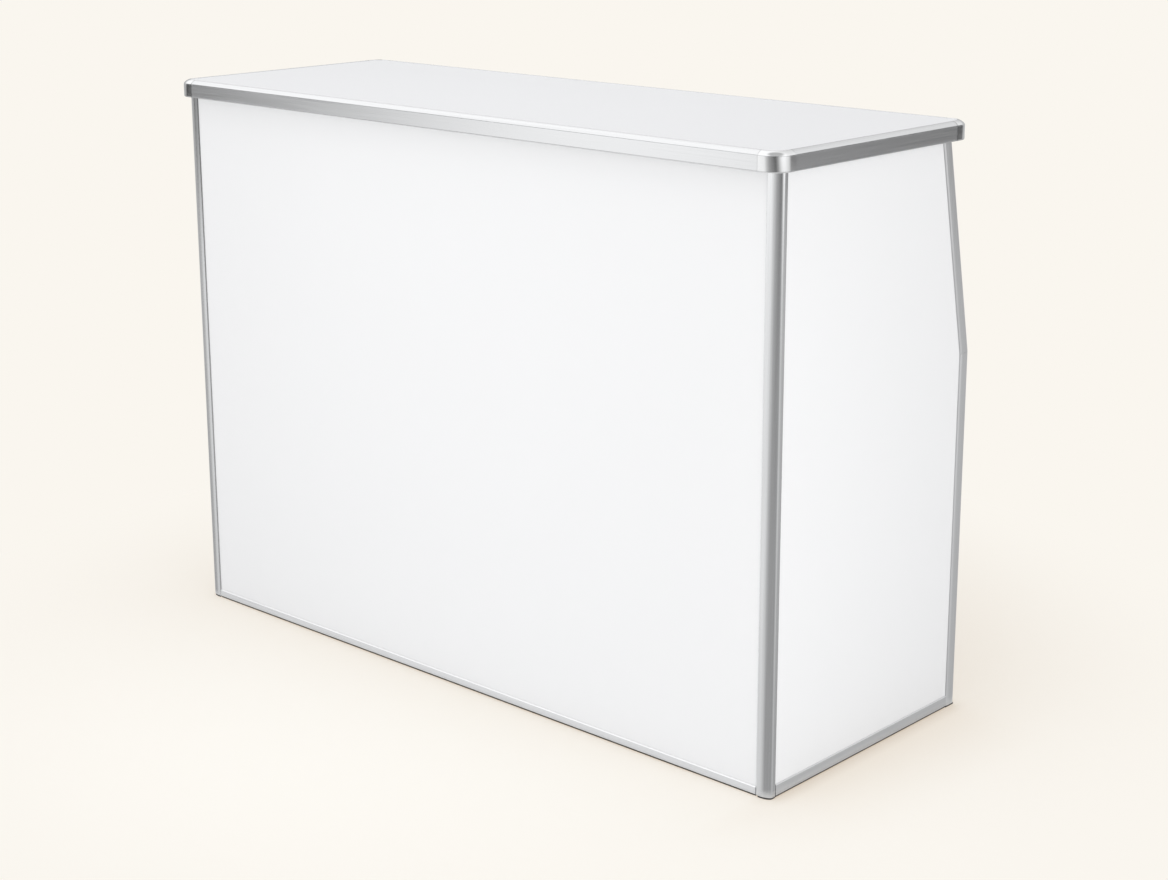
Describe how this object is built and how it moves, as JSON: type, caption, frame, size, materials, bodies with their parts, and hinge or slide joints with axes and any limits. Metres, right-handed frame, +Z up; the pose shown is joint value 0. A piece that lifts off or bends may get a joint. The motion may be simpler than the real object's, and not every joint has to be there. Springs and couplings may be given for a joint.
{
  "type": "folding portable bar",
  "caption": "Free-standing bar counter with white panels in aluminium frames, hinged folding wings, a lift-off top in a metal rim and fold-up shelves behind the front.",
  "frame": {"origin": "on the floor under the middle of the part's own box", "axes": "+X to the right as seen from the front, +Y from the front panel to the open back, +Z up"},
  "size_m": [1.478, 0.563, 1.067],
  "materials": {
    "white_sheet": "satin white laminate",
    "white_top": "satin white laminate, fine pebble",
    "white_shelf": "satin white laminate",
    "brushed_aluminium": "brushed along its length, clear anodised",
    "satin_corner": "satin polished",
    "mill_aluminium": "mill finish",
    "hinge_steel": "bright zinc plated",
    "black_rubber": "matte black"
  },
  "bodies": {
    "front_panel": {"front_sheet": "white_sheet", "right_corner_post": "brushed_aluminium", "left_corner_post": "brushed_aluminium", "front_bottom_rail": "brushed_aluminium", "front_top_rail": "mill_aluminium", "upper_cross_rail": "mill_aluminium", "lower_cross_rail": "mill_aluminium", "right_post_foot": "black_rubber", "left_post_foot": "black_rubber", "right_hinge_post_leaf": "hinge_steel", "left_hinge_post_leaf": "hinge_steel", "right_hinge_pin": "hinge_steel", "left_hinge_pin": "hinge_steel", "work_shelf_rail_leaf": "hinge_steel", "lower_shelf_rail_leaf": "hinge_steel", "work_shelf_hinge_pin": "hinge_steel", "lower_shelf_hinge_pin": "hinge_steel"},
    "right_wing": {"right_wing_sheet": "white_sheet", "right_wing_front_stile": "mill_aluminium", "right_wing_rear_stile": "brushed_aluminium", "right_wing_slanted_stile": "brushed_aluminium", "right_wing_bottom_rail": "brushed_aluminium", "right_wing_top_rail": "mill_aluminium", "right_wing_upper_rail": "mill_aluminium", "right_wing_lower_rail": "mill_aluminium", "right_wing_front_foot": "black_rubber", "right_wing_rear_foot": "black_rubber", "right_hinge_wing_leaf": "hinge_steel", "right_work_shelf_cleat": "mill_aluminium", "right_lower_shelf_cleat": "mill_aluminium"},
    "left_wing": {"left_wing_sheet": "white_sheet", "left_wing_front_stile": "mill_aluminium", "left_wing_rear_stile": "brushed_aluminium", "left_wing_slanted_stile": "brushed_aluminium", "left_wing_bottom_rail": "brushed_aluminium", "left_wing_top_rail": "mill_aluminium", "left_wing_upper_rail": "mill_aluminium", "left_wing_lower_rail": "mill_aluminium", "left_wing_front_foot": "black_rubber", "left_wing_rear_foot": "black_rubber", "left_hinge_wing_leaf": "hinge_steel", "left_work_shelf_cleat": "mill_aluminium", "left_lower_shelf_cleat": "mill_aluminium"},
    "bar_top": {"top_board": "white_top", "top_front_rail": "brushed_aluminium", "top_rear_rail": "brushed_aluminium", "right_top_rail": "brushed_aluminium", "left_top_rail": "brushed_aluminium", "right_front_top_corner": "satin_corner", "left_front_top_corner": "satin_corner", "right_rear_top_corner": "satin_corner", "left_rear_top_corner": "satin_corner", "right_top_peg": "hinge_steel", "left_top_peg": "hinge_steel"},
    "work_shelf": {"work_shelf_board": "white_shelf", "work_shelf_edge_trim": "brushed_aluminium", "work_shelf_board_leaf": "hinge_steel"},
    "lower_shelf": {"lower_shelf_board": "white_shelf", "lower_shelf_edge_trim": "brushed_aluminium", "lower_shelf_board_leaf": "hinge_steel"}
  },
  "joints": [
    {"name": "right_wing_hinge", "type": "hinge", "parent": "front_panel", "child": "right_wing", "pos_m": [0.7057, -0.237, 0.5], "axis": [0, 0, 1], "range_deg": [0, 90]},
    {"name": "left_wing_hinge", "type": "hinge", "parent": "front_panel", "child": "left_wing", "pos_m": [-0.7057, -0.237, 0.5], "axis": [0, 0, -1], "range_deg": [0, 90]},
    {"name": "bar_top_lift", "type": "slide", "parent": "front_panel", "child": "bar_top", "axis": [0, 0, 1], "range_m": [0, 0.03]},
    {"name": "work_shelf_hinge", "type": "hinge", "parent": "front_panel", "child": "work_shelf", "pos_m": [0, -0.2391, 0.7], "axis": [1, 0, 0], "range_deg": [-90, 0]},
    {"name": "lower_shelf_hinge", "type": "hinge", "parent": "front_panel", "child": "lower_shelf", "pos_m": [0, -0.2391, 0.17], "axis": [1, 0, 0], "range_deg": [-90, 0]}
  ]
}
